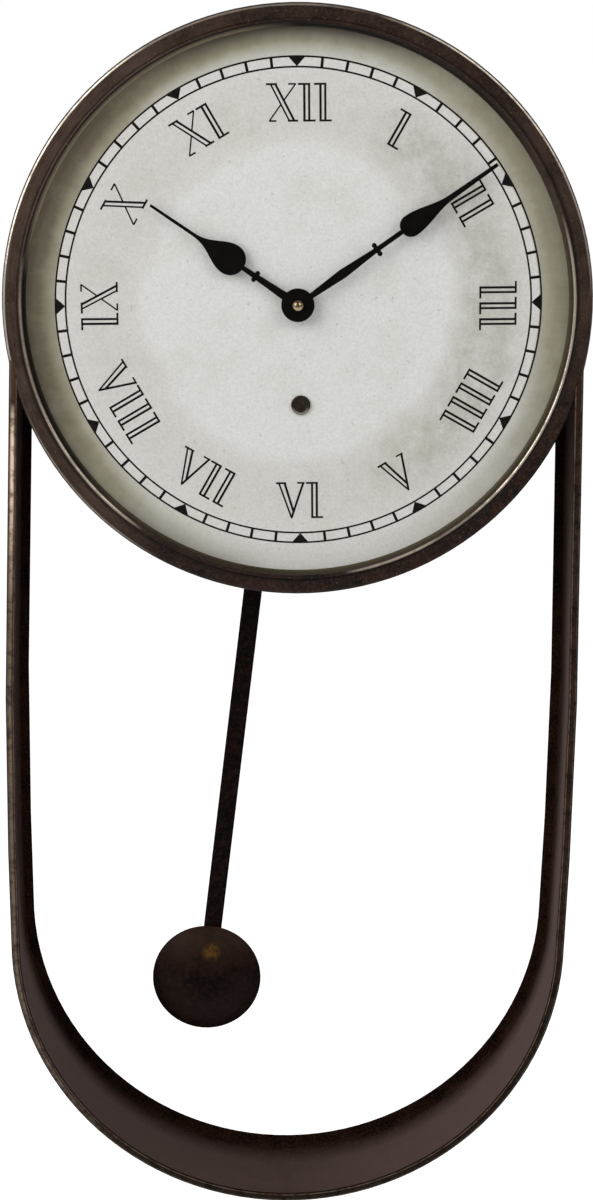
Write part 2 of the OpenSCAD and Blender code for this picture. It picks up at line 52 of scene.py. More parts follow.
mm = 0.001
axisZ = -125.0  # height of the hands' axis, in mm from the keyhole
dialY = -78.8  # front of the dial board, in mm from the wall
lipY = -84.5  # of the bezel and the band, only the faces of their lips lie in front of this


def toLinear(hexColour):
    channels = [int(hexColour[i:i + 2], 16) / 255 for i in (1, 3, 5)]
    return (*[c / 12.92 if c <= 0.04045 else ((c + 0.055) / 1.055) ** 2.4 for c in channels], 1.0)


# Adds one node. An input is a number, a colour, a socket, or a node whose first live output is used
def addNode(tree, kind, inputs=None, **settings):
    made = tree.nodes.new("ShaderNode" + kind)
    for name, value in settings.items():
        setattr(made, name, value)
    for key, value in (inputs or {}).items():
        live = [socket for socket in made.inputs if socket.enabled and socket.name == key]
        socket = made.inputs[key] if isinstance(key, int) else live[0]
        if isinstance(value, bpy.types.Node):
            value = next(o for o in value.outputs if o.enabled)
        if isinstance(value, bpy.types.NodeSocket):
            tree.links.new(value, socket)
        else:
            socket.default_value = value
    return made


# A material's tree, its shader and the surface's own coordinates in mm
def newMaterial(name):
    material = bpy.data.materials.new(name)
    material.use_nodes = True
    tree = material.node_tree
    tree.nodes.clear()
    shader = addNode(tree, "BsdfPrincipled")
    addNode(tree, "OutputMaterial", {"Surface": shader})
    own = addNode(tree, "TexCoord").outputs["Object"]
    place = addNode(tree, "VectorMath", {0: own, "Scale": 1 / mm}, operation="SCALE")
    return material, tree, shader, place


# Links what a material has worked out to its shader
def plugIn(tree, shader, **inputs):
    sockets = {"colour": "Base Color", "metallic": "Metallic", "roughness": "Roughness", "normal": "Normal"}
    for name, value in inputs.items():
        tree.links.new(next(o for o in value.outputs if o.enabled), shader.inputs[sockets[name]])


# Folds several values into one with a single operation
def joinAll(tree, operation, values):
    joined = values[0]
    for value in values[1:]:
        joined = addNode(tree, "Math", {0: joined, 1: value}, operation=operation)
    return joined


# Washes of colour, each laid over the last by its own share
def layWashes(tree, colour, washes):
    for share, wash in washes:
        colour = addNode(tree, "Mix", {"Factor": share, "A": colour, "B": toLinear(wash)}, data_type="RGBA")
    return colour


# Camera, from the photograph's perspective: the lens follows from the focal length in pixels
view = {
    "place": (-22.59, -1646.98, 46.68),  # mm
    "pitch": 0.2225,  # radians down
    "yaw": 0.0157,  # radians to the right
    "roll": 0.0156,
    "focal": 2595.58,  # pixels, in a frame 593 pixels wide
    "frameWidth": 593,
    "sensorWidth": 36,  # mm
    "reach": 200,  # m, as far as the camera sees
}
sinYaw, cosYaw = math.sin(view["yaw"]), math.cos(view["yaw"])
sinPitch, cosPitch = math.sin(view["pitch"]), math.cos(view["pitch"])
forward = Vector((sinYaw * cosPitch, cosYaw * cosPitch, -sinPitch))
level = Vector((cosYaw, -sinYaw, 0))
upright = level.cross(forward)
right = math.cos(view["roll"]) * level + math.sin(view["roll"]) * upright
up = math.cos(view["roll"]) * upright - math.sin(view["roll"]) * level
lens = bpy.data.cameras.new("camera")
lens.sensor_fit = "HORIZONTAL"
lens.sensor_width = view["sensorWidth"]
lens.lens = view["focal"] / view["frameWidth"] * view["sensorWidth"]
lens.clip_end = view["reach"]
camera = bpy.data.objects.new("camera", lens)
turn = Matrix((right, up, -forward)).transposed().to_4x4()
camera.matrix_world = Matrix.Translation(Vector(view["place"]) * mm) @ turn
bpy.context.scene.collection.objects.link(camera)
bpy.context.scene.camera = camera
bpy.context.scene.view_settings.view_transform = "Standard"
print("camera placed")

# Studio: two softboxes above the clock, a pale room, and a pale floor below it
studio = {
    "floorDrop": 350,  # mm below the clock
    "floorHalf": 60,  # m
    "floorColour": "#e6e6e6",
    "floorRoughness": 0.9,
    "floorGlow": 0.78,  # for the camera and gloss, brings the floor to white
    "roomColour": "#fbfbff",
    "room": 0.3,  # strength of the room's light on the clock
    "darkSide": 0.1,  # what gloss sees of the unlit side behind the camera
    "roomEdge": (-0.35, 0.25),  # directions between which the room grows light
    "floorEdge": (-1600, 0),  # mm from the wall, between which the floor does
    "keyPlace": (-1.75, -1.35, 0.9),  # m
    "keySize": 2.0,
    "keyPower": 40,  # W
    "fillPlace": (1.35, -1.5, 1.1),
    "fillSize": 1.5,
    "fillPower": 15,
    "aim": (0, -0.08, -0.25),
}


def addSoftbox(name, place, size, power):
    lamp = bpy.data.lights.new(name, "AREA")
    lamp.size = size
    lamp.energy = power
    box = bpy.data.objects.new(name, lamp)
    toward = Vector(studio["aim"]) - Vector(place)
    box.matrix_world = Matrix.Translation(place) @ toward.to_track_quat("-Z", "Y").to_matrix().to_4x4()
    bpy.context.scene.collection.objects.link(box)


# 1 for rays of the camera, of gloss and of transmission
def seenDirectly(tree):
    path = addNode(tree, "LightPath").outputs
    rays = [path[kind] for kind in ("Is Camera Ray", "Is Glossy Ray", "Is Transmission Ray")]
    return joinAll(tree, "MAXIMUM", rays)


# Full toward the wall and for the camera, and little on the unlit side behind the camera
def litSide(tree, depth, edge):
    lit = {"Value": depth, "From Min": edge[0], "From Max": edge[1], "To Min": studio["darkSide"]}
    toCamera = addNode(tree, "LightPath").outputs["Is Camera Ray"]
    return joinAll(tree, "MAXIMUM", [addNode(tree, "MapRange", lit), toCamera])


addSoftbox("keySoftbox", studio["keyPlace"], studio["keySize"], studio["keyPower"])
addSoftbox("fillSoftbox", studio["fillPlace"], studio["fillSize"], studio["fillPower"])
world = bpy.data.worlds.new("room")
world.use_nodes = True
tree = world.node_tree
tree.nodes.clear()
dim = addNode(tree, "Background", {"Color": toLinear(studio["roomColour"]), "Strength": studio["room"]})
toward = addNode(tree, "SeparateXYZ", {0: addNode(tree, "TexCoord").outputs["Generated"]}).outputs["Y"]
strength = litSide(tree, toward, studio["roomEdge"])
bright = addNode(tree, "Background", {"Color": (1, 1, 1, 1), "Strength": strength})
mixed = addNode(tree, "MixShader", {0: seenDirectly(tree), 1: dim, 2: bright})
addNode(tree, "OutputWorld", {"Surface": mixed})
bpy.context.scene.world = world

# Matt paper sweep: an even pale floor that keeps the clock's soft shadow
paper, tree, shader, place = newMaterial("paperSweep")
shader.inputs["Base Color"].default_value = toLinear(studio["floorColour"])
shader.inputs["Roughness"].default_value = studio["floorRoughness"]
toward = addNode(tree, "SeparateXYZ", {0: place}).outputs["Y"]
lit = litSide(tree, toward, studio["floorEdge"])
strength = joinAll(tree, "MULTIPLY", [seenDirectly(tree), lit, studio["floorGlow"]])
both = addNode(tree, "AddShader", {0: shader, 1: addNode(tree, "Emission", {"Strength": strength})})
output = next(node for node in tree.nodes if node.type == "OUTPUT_MATERIAL")
tree.links.new(both.outputs[0], output.inputs["Surface"])
half, floorZ = studio["floorHalf"], cadLow.z - studio["floorDrop"] * mm
floorMesh = bpy.data.meshes.new("floor")
corners = [(-half, -half, floorZ), (half, -half, floorZ), (half, half, floorZ), (-half, half, floorZ)]
floorMesh.from_pydata(corners, [], [(0, 1, 2, 3)])
floorMesh.materials.append(paper)
floor = bpy.data.objects.new("floor", floorMesh)
bpy.context.scene.collection.objects.link(floor)
print("studio set")

# Oil-rubbed bronze: dark brown powder coat on pressed steel, rubbed through to a warm metal at the edges.
# In every piece's values, a ramp holds the levels between which something comes up, and how far
bronze = {
    "deep": "#0d0806",
    "brown": "#2b1b14",
    "dust": "#4b352b",
    "paintedSheen": "#56463b",  # painted sheen, where the lights grey the coat
    "tintAndSheen": "#4d4730",  # olive; on the band, a painted sheen
    "paintedShade": "#0a0604",  # painted shade in creases and recesses, and round the bow
    "pale": "#8a7f6a",  # paler
    # the rubbed metal's pale colour, which also paints highlights
    "bareAndHighlight": "#ddcfbc",
    "cloud": {"Scale": 1 / 16, "Detail": 6, "Roughness": 0.65},  # clouds of 16 mm
    "brownRamp": {"From Min": 0.36, "From Max": 0.64},
    "grain": {"Scale": 1 / 1.7, "Detail": 4, "Roughness": 0.6},  # orange peel of 1.7 mm, coarsened to show
    "dustRamp": {"From Min": 0.46, "From Max": 0.7, "To Max": 0.55},
    "sheenRamp": {"From Min": 0.3, "From Max": 0.7, "To Min": 0.5},  # the painted sheen is thinner in the dark clouds
    "speck": {"Scale": 1 / 1.1, "Detail": 1},  # specks of 1.1 mm, for pin-point chips
    "chipRamp": {"From Min": 0.74, "From Max": 0.8},
    "chips": 0.25,  # how far the chips show
    "ragged": {"Scale": 1 / 6, "Detail": 5, "Roughness": 0.7},  # breaks of 6 mm in the rubbed edges
    "breakRamp": {"From Min": 0.36, "From Max": 0.54},
    "unbroken": 0.6,  # the least that a rubbed line shows in its breaks
    "metal": 0.85,  # how metallic a fully rubbed spot is
    "polish": 0.17,  # roughness of the rubbed metal
    "roughRamp": {"From Min": 0.3, "From Max": 0.7, "To Min": 0.4, "To Max": 0.56},
    "mattRoughness": 0.9,
    "specular": 0.13,  # the coat is waxed dull
    "coat": 0.05,
    "coatRoughness": 0.22,
    "relief": 0.32,  # mm
    "reliefStrength": 0.3,
    "crown": 1.4,  # mm, how far a rolled lip rounds out
}

# The same finish on the pendulum, where it is all but black
darkBronze = {
    **bronze,
    "deep": "#030302",
    "brown": "#110807",
    "dust": "#2f1c16",
    "paintedSheen": "#33231b",
    # gold of the bob's painted glint
    "bareAndHighlight": "#8a6426",
    "cloud": {**bronze["cloud"], "Scale": 1 / 6},
    "grain": {**bronze["grain"], "Scale": 1 / 2.6},
    "specular": 0.04,
    "coat": 0.01,
    "chips": 0,
}

# on the band, which was never waxed: its inside is dead matt
bandBronze = {
    **bronze,
    "paintedSheen": "#5c4332",
    # the band's outside: a painted sheen, grey as the waxed drum's reflection
    "tintAndSheen": "#443f3c",
    # cream and less metallic, so that the painted highlight on the left leg shows bright
    "bareAndHighlight": "#efd6bc",
    # painted light on the wall's inside
    "inner": "#6a5853",
    "specular": 0.02,
    "coat": 0.0,
    "chips": 0.15,
    "unbroken": 0.2,
    "polish": 0.36,
    "metal": 0.35,
}

# and on the eyelet, a little greener
eyeletBronze = {**bronze, "deep": "#14100a", "brown": "#2a2318", "chips": 0}


# marks(tree, place) gives each wash its share, from 0 to 1, and says how matt or crowned a spot is
def makeBronze(name, marks, look):
    material, tree, shader, place = newMaterial(name)
    patterns = [{"Vector": place, **look[key]} for key in ("cloud", "grain", "speck", "ragged")]
    cloud, grain, specks, breaks = [addNode(tree, "TexNoise", pattern) for pattern in patterns]
    shares = marks(tree, place)
    shares["brown"] = addNode(tree, "MapRange", {"Value": cloud, **look["brownRamp"]})
    shares["dust"] = addNode(tree, "MapRange", {"Value": grain, **look["dustRamp"]})
    if "paintedSheen" in shares:
        thin = addNode(tree, "MapRange", {"Value": cloud, **look["sheenRamp"]})
        shares["paintedSheen"] = joinAll(tree, "MULTIPLY", [shares["paintedSheen"], thin])
    chipped = addNode(tree, "MapRange", {"Value": specks, **look["chipRamp"], "To Max": look["chips"]})
    breaks = addNode(tree, "MapRange", {"Value": breaks, **look["breakRamp"], "To Min": look["unbroken"]})
    # the rubbed share holds wear and painted highlights alike
    wearAndHighlight = joinAll(tree, "MULTIPLY", [shares["bareAndHighlight"], breaks])
    wearAndHighlight = addNode(tree, "Math", {0: wearAndHighlight, 1: chipped}, operation="MAXIMUM", use_clamp=True)
    shares["bareAndHighlight"] = wearAndHighlight
    order = ("brown", "dust", "paintedSheen", "tintAndSheen", "paintedShade", "pale", "bareAndHighlight", "inner")
    washes = [(shares[wash], look[wash]) for wash in order if wash in shares]
    colour = layWashes(tree, toLinear(look["deep"]), washes)
    metallic = joinAll(tree, "MULTIPLY", [wearAndHighlight, look["metal"]])
    rough = addNode(tree, "MapRange", {"Value": cloud, **look["roughRamp"]})
    if "matt" in shares:
        dull = {"Factor": shares["matt"], "A": rough, "B": look["mattRoughness"]}
        rough = addNode(tree, "Mix", dull, data_type="FLOAT")
    rough = addNode(tree, "Mix", {"Factor": wearAndHighlight, "A": rough, "B": look["polish"]}, data_type="FLOAT")
    peel = {"Height": grain, "Strength": look["reliefStrength"], "Distance": look["relief"] * mm}
    normal = addNode(tree, "Bump", peel)
    if "crown" in shares:
        rolled = {"Height": shares["crown"], "Strength": 1.0, "Distance": look["crown"] * mm}
        normal = addNode(tree, "Bump", {**rolled, "Normal": normal})
    plugIn(tree, shader, colour=colour, metallic=metallic, roughness=rough, normal=normal)
    shader.inputs["Specular IOR Level"].default_value = look["specular"]
    shader.inputs["Coat Weight"].default_value = look["coat"]
    shader.inputs["Coat Roughness"].default_value = look["coatRoughness"]
    return material


lineCore = 0.3  # the part of a line's half width that has its full share


# How near a value lies to a line: the line's share on it, and 0 beyond its half width
def nearLine(tree, value, line, halfWidth, share=1.0):
    off = addNode(tree, "Math", {0: value, 1: line}, operation="SUBTRACT")
    off = addNode(tree, "Math", {0: off}, operation="ABSOLUTE")
    limits = {"From Min": halfWidth, "From Max": lineCore * halfWidth, "To Max": share}
    return addNode(tree, "MapRange", {"Value": off, **limits})


# The way out from an axis that runs front to back, in mm
def wayFrom(tree, place, x=0.0, z=axisZ):
    away = addNode(tree, "VectorMath", {0: place, 1: (x, 0, z)}, operation="SUBTRACT")
    return addNode(tree, "VectorMath", {0: away, 1: (1, 0, 1)}, operation="MULTIPLY")


def distanceFrom(tree, place, x=0.0, z=axisZ):
    return addNode(tree, "VectorMath", {0: wayFrom(tree, place, x, z)}, operation="LENGTH")


def directionFrom(tree, place):
    return addNode(tree, "VectorMath", {0: wayFrom(tree, place)}, operation="NORMALIZE")


# 1 on the lips' faces, 0 further behind them than the depth given
def onFace(tree, place, depth):
    back = addNode(tree, "SeparateXYZ", {0: place}).outputs["Y"]
    return addNode(tree, "MapRange", {"Value": back, "From Min": lipY + depth, "From Max": lipY})


# The most that any sector gives a direction. A sector is its middle, clockwise from the top, how far to each
# side of the middle it begins and is full, all in degrees, and its share
def inSectors(tree, outward, sectors):
    shares = []
    for middle, start, full, share in sectors:
        toward = (math.sin(math.radians(middle)), 0, math.cos(math.radians(middle)))
        along = addNode(tree, "VectorMath", {0: outward, 1: toward}, operation="DOT_PRODUCT")
        limits = {"From Min": math.cos(math.radians(start)), "From Max": math.cos(math.radians(full))}
        shares.append(addNode(tree, "MapRange", {"Value": along, **limits, "To Max": share}))
    return joinAll(tree, "MAXIMUM", shares)


# The rim's rings: wash, radius and half width in mm, and sectors
bezel = {
    "faceDepth": 1.5,  # mm over which wear and its painted highlights fade out behind the face
    "rings": [
        # painted highlight on the bead at the lower right and the lower left, laid as rubbed metal
        ("bareAndHighlight", 166.8, 1.0, [(108, 38, 21, 1.0), (141, 20, 10, 0.35), (158, 11, 7, 0.65)]),
        ("bareAndHighlight", 166.8, 1.0, [(233, 19, 11, 0.85), (258, 22, 12, 0.4)]),
        # painted highlight on the outer edge, mostly at the upper left and the upper right, laid as rubbed
        # metal
        ("bareAndHighlight", 176.6, 0.75, [(292, 40, 29, 1.0), (42, 28, 18, 0.8), (68, 20, 8, 0.5)]),
        ("bareAndHighlight", 176.6, 0.75, [(345, 30, 18, 0.3), (228, 20, 10, 0.3)]),
        # the sill behind the bead is olive below, and paler at the upper left
        ("tintAndSheen", 164.3, 1.5, [(130, 70, 45, 0.75), (215, 45, 30, 0.35)]),
        ("pale", 164.2, 2.2, [(317, 42, 28, 1.0)]),
        # painted shade on the sill, beside the bead and in the crease outside it
        ("paintedShade", 165.2, 1.9, [(258, 36, 24, 0.9), (4, 22, 12, 0.9), (30, 30, 15, 0.8)]),
        ("paintedShade", 166.7, 0.8, [(315, 60, 45, 0.85)]),
        ("paintedShade", 169.2, 1.5, [(150, 125, 100, 0.5)]),
    ],
    "shadeLines": [(162.9, 0.9, 0.75), (178.0, 0.9, 0.8)],  # painted shade all round, at the dial's edge and the rim's outer edge: radius, half width, share
    # painted sheen on the face: at the upper left, the right, the lower left and faintly at the top
    "sheenSectors": [(302, 52, 22, 0.9), (75, 40, 15, 0.5), (242, 34, 16, 0.75), (0, 50, 30, 0.2)],
    "streak": {"Scale": 1.0, "Detail": 4, "Roughness": 0.7},  # in coordinates that count streaks
    "streakRadius": 178,  # mm
    "streakLength": 22,
    "streakWidth": 1.6,
    "streakRamp": {"From Min": 0.35, "From Max": 0.65, "To Min": 0.45, "To Max": 1.15},
}


def bezelMarks(tree, place):
    radius, outward = distanceFrom(tree, place), directionFrom(tree, place)
    # painted shade: dark rings all round, and in the creases by sectors
    shares = {"paintedShade": [nearLine(tree, radius, *line) for line in bezel["shadeLines"]]}
    for wash, line, halfWidth, sectors in bezel["rings"]:
        ring = [nearLine(tree, radius, line, halfWidth), inSectors(tree, outward, sectors)]
        shares.setdefault(wash, []).append(joinAll(tree, "MULTIPLY", ring))
    marks = {wash: joinAll(tree, "MAXIMUM", rings) for wash, rings in shares.items()}
    face = onFace(tree, place, bezel["faceDepth"])
    marks["bareAndHighlight"] = joinAll(tree, "MULTIPLY", [marks["bareAndHighlight"], face])
    # wiping has left streaks along the rim, long that way and narrow across it, and the painted sheen lies
    # in them
    perRadian = bezel["streakRadius"] / bezel["streakLength"]
    along = addNode(tree, "VectorMath", {0: outward, "Scale": perRadian}, operation="SCALE")
    along = addNode(tree, "SeparateXYZ", {0: along}).outputs
    across = joinAll(tree, "MULTIPLY", [radius, 1 / bezel["streakWidth"]])
    ringed = addNode(tree, "CombineXYZ", {0: along["X"], 1: across, 2: along["Z"]})
    streaks = addNode(tree, "TexNoise", {"Vector": ringed, **bezel["streak"]})
    streaks = addNode(tree, "MapRange", {"Value": streaks, **bezel["streakRamp"]})
    marks["paintedSheen"] = joinAll(tree, "MULTIPLY", [inSectors(tree, outward, bezel["sheenSectors"]), streaks])
    return marks


# The lip's lines are given by their reach, which is how far out from the bow's centre they run
band = {
    "faceDepth": 1,  # mm
    "bowZ": -532.0,  # height of the bow's centre
    # the legs belly out in three straight runs: height above the bow's centre, belly there and rise per mm
    "runs": [(0, 0, 0.0245), (60, 1.47, 0.0063), (160, 2.1, -0.0195)],
    "edge": (173.3, 1.6),  # the line that is rubbed brightest and carries a painted highlight: reach and half width
    "lines": [(171.2, 0.5, 0.13), (174.7, 0.5, 0.13)],  # fainter ones: reach, half width, share
    "leastRubbed": 0.02,
    "leftRamp": {"From Min": -100, "From Max": -150},  # across, to the left leg
    "heightRamp": {"From Min": -310, "From Max": -225, "To Min": 0.17, "To Max": 1.15},  # up the leg
    "caseRamp": {"From Min": -186, "From Max": -200},  # down, from the case
    "leftSheenRamp": {"To Min": 0.05, "To Max": 0.42},
    "bowRamp": {"From Min": -480, "From Max": -580, "To Max": 0.6},  # down, into the bow, where painted shade darkens the lip
    "middle": 172.0,  # reach of the lip's middle
    "lipHalf": 3.6,
    "inside": 175.2,  # reach of the wall's inner face
    "insideBlur": 0.3,
    # painted sheen on the outside
    "outsideSheen": 0.6,
    "uprightRamp": {"From Min": -575, "From Max": -440},  # up, from the bow into the legs
    "legRamp": {"From Min": -150, "From Max": 150, "To Min": -60, "To Max": -30},  # across, and the line's y
    "bowLine": -19,  # y of the line in the bow
    "lineBlur": 12,  # mm to each side of the line
    "insideLightRamp": {"From Max": 150, "To Min": 0.42, "To Max": 0.76},  # out from the middle, either way
}


# How far out a spot of the band lies, as if its legs were straight
def bandReach(tree, x, z):
    above = addNode(tree, "Math", {0: z, 1: band["bowZ"]}, operation="SUBTRACT")
    below = addNode(tree, "Math", {0: above, 1: 0.0}, operation="MINIMUM")
    fromBow = addNode(tree, "CombineXYZ", {0: x, 1: below})
    reach = addNode(tree, "VectorMath", {0: fromBow}, operation="LENGTH")
    climb = addNode(tree, "Math", {0: above, 1: 0.0}, operation="MAXIMUM")
    runs = []
    for start, belly, rise in band["runs"]:
        run = {0: climb, 1: rise, 2: belly - rise * start}
        runs.append(addNode(tree, "Math", run, operation="MULTIPLY_ADD"))
    return addNode(tree, "Math", {0: reach, 1: joinAll(tree, "MINIMUM", runs)}, operation="SUBTRACT")


# Painted light on the band's inside, lit in front of a line that lies further back on the right leg than on
# the left one, and furthest back in the bow
def bandInsideLit(tree, x, y, z):
    upright = addNode(tree, "MapRange", {"Value": z, **band["uprightRamp"]})
    legLine = addNode(tree, "MapRange", {"Value": x, **band["legRamp"]})
    line = addNode(tree, "Mix", {"Factor": upright, "A": band["bowLine"], "B": legLine}, data_type="FLOAT")
    behind = addNode(tree, "Math", {0: y, 1: line}, operation="SUBTRACT")
    blur = band["lineBlur"]
    inFront = addNode(tree, "MapRange", {"Value": behind, "From Min": blur, "From Max": -blur})
    sideways = addNode(tree, "Math", {0: x}, operation="ABSOLUTE")
    sideways = addNode(tree, "MapRange", {"Value": sideways, **band["insideLightRamp"]})
    return joinAll(tree, "MULTIPLY", [inFront, sideways])


def bandMarks(tree, place):
    x, y, z = addNode(tree, "SeparateXYZ", {0: place}).outputs
    reach = bandReach(tree, x, z)
    face = onFace(tree, place, band["faceDepth"])
    # a painted highlight on rubbed metal lights the left leg below the case, and the rest of the lip is
    # rubbed only here and there
    leftSide = addNode(tree, "MapRange", {"Value": x, **band["leftRamp"]})
    height = addNode(tree, "MapRange", {"Value": z, **band["heightRamp"]})
    leftLeg = joinAll(tree, "MULTIPLY", [leftSide, height])
    belowCase = addNode(tree, "MapRange", {"Value": z, **band["caseRamp"]})
    rubbedAndLit = joinAll(tree, "MULTIPLY", [leftLeg, belowCase])
    rubbedAndLit = joinAll(tree, "MAXIMUM", [rubbedAndLit, band["leastRubbed"]])
    rubbedAndLit = joinAll(tree, "MULTIPLY", [nearLine(tree, reach, *band["edge"]), rubbedAndLit])
    lines = [nearLine(tree, reach, *line) for line in band["lines"]]
    bareAndHighlight = joinAll(tree, "MULTIPLY", [joinAll(tree, "MAXIMUM", [rubbedAndLit, *lines]), face])
    # the lip is rolled, so that its middle stands forward
    off = addNode(tree, "Math", {0: reach, 1: band["middle"]}, operation="SUBTRACT")
    off = joinAll(tree, "MULTIPLY", [off, 1 / band["lipHalf"]])
    crown = joinAll(tree, "MULTIPLY", [off, off])
    crown = addNode(tree, "Math", {0: 1.0, 1: crown}, operation="SUBTRACT", use_clamp=True)
    crown = joinAll(tree, "MULTIPLY", [crown, face])
    # behind the lip, the wall is matt within, and without it carries a painted sheen
    limits = {"From Min": band["inside"] + band["insideBlur"], "From Max": band["inside"]}
    within = addNode(tree, "MapRange", {"Value": reach, **limits})
    back = addNode(tree, "Math", {0: 1.0, 1: face}, operation="SUBTRACT")
    matt = joinAll(tree, "MULTIPLY", [within, back])
    outside = addNode(tree, "Math", {0: back, 1: matt}, operation="SUBTRACT")
    tintAndSheen = joinAll(tree, "MULTIPLY", [outside, band["outsideSheen"]])
    # painted light on the inside wall, in front of the line
    inner = joinAll(tree, "MULTIPLY", [bandInsideLit(tree, x, y, z), matt])
    # a painted sheen greys the left leg's lip, and painted shade keeps the lip round the bow nearly black
    sheened = addNode(tree, "MapRange", {"Value": leftLeg, **band["leftSheenRamp"]})
    low = addNode(tree, "MapRange", {"Value": z, **band["bowRamp"]})
    paintedSheen, paintedShade = [joinAll(tree, "MULTIPLY", [face, share]) for share in (sheened, low)]
    shares = {"paintedSheen": paintedSheen, "tintAndSheen": tintAndSheen, "paintedShade": paintedShade, "bareAndHighlight": bareAndHighlight, "inner": inner}
    return {**shares, "matt": matt, "crown": crown}


# The bob has one painted glint high on its dome, laid as rubbed metal, and a painted grey sheen over its
# upper half
bob = {
    "x": -52.2,  # mm, its middle at rest
    "z": -566.3,
    "glintX": 3,  # mm from the middle
    "glintZ": 20,
    "glintRamp": {"From Min": 6.5, "From Max": 1, "To Max": 0.5},
    "spot": {"Scale": 1 / 4, "Detail": 3},  # spots of 4 mm in the glint
    "spotRamp": {"From Min": 0.38, "From Max": 0.58},
    "sheenFrom": 2,  # mm above the middle
    "sheenTo": 26,
    "ring": (22, 14, 0.3),  # the painted sheen's ring: radius, half width, share
}


def bobMarks(tree, place):
    spots = addNode(tree, "TexNoise", {"Vector": place, **bob["spot"]})
    spots = addNode(tree, "MapRange", {"Value": spots, **bob["spotRamp"]})
    away = distanceFrom(tree, place, bob["x"] + bob["glintX"], bob["z"] + bob["glintZ"])
    near = addNode(tree, "MapRange", {"Value": away, **bob["glintRamp"]})
    height = addNode(tree, "SeparateXYZ", {0: place}).outputs["Z"]
    limits = {"From Min": bob["z"] + bob["sheenFrom"], "From Max": bob["z"] + bob["sheenTo"]}
    upper = addNode(tree, "MapRange", {"Value": height, **limits})
    ring = nearLine(tree, distanceFrom(tree, place, bob["x"], bob["z"]), *bob["ring"])
    # painted glint, and painted sheen over the upper half and in a ring
    glint = joinAll(tree, "MULTIPLY", [near, spots])
    return {"bareAndHighlight": glint, "paintedSheen": joinAll(tree, "MAXIMUM", [upper, ring])}


rod = {
    "patch": {"Scale": 1 / 30, "Detail": 3},  # faintly rubbed patches of 30 mm
    "patchRamp": {"From Min": 0.6, "From Max": 0.8, "To Max": 0.02},
}


# The rod, and the bronze that no hand reaches
def rodMarks(tree, place):
    patches = addNode(tree, "TexNoise", {"Vector": place, **rod["patch"]})
    return {"bareAndHighlight": addNode(tree, "MapRange", {"Value": patches, **rod["patchRamp"]})}


eyelet = {
    "rim": (5.1, 0.9, 0.42),  # mm, painted highlight on the lower rim, laid as rubbed metal: radius, half width, share
    "litFrom": 1,  # mm below the middle
    "litTo": 4,
}
eyeletLow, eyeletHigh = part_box("winding_eyelet")
eyeletX, eyeletZ = (eyeletLow[0] + eyeletHigh[0]) / 2 / mm, (eyeletLow[2] + eyeletHigh[2]) / 2 / mm


def eyeletMarks(tree, place):
    # painted highlight along the lower rim, laid as rubbed metal
    rim = nearLine(tree, distanceFrom(tree, place, eyeletX, eyeletZ), *eyelet["rim"])
    height = addNode(tree, "SeparateXYZ", {0: place}).outputs["Z"]
    limits = {"From Min": eyeletZ - eyelet["litFrom"], "From Max": eyeletZ - eyelet["litTo"]}
    lower = addNode(tree, "MapRange", {"Value": height, **limits})
    return {"bareAndHighlight": joinAll(tree, "MULTIPLY", [rim, lower])}


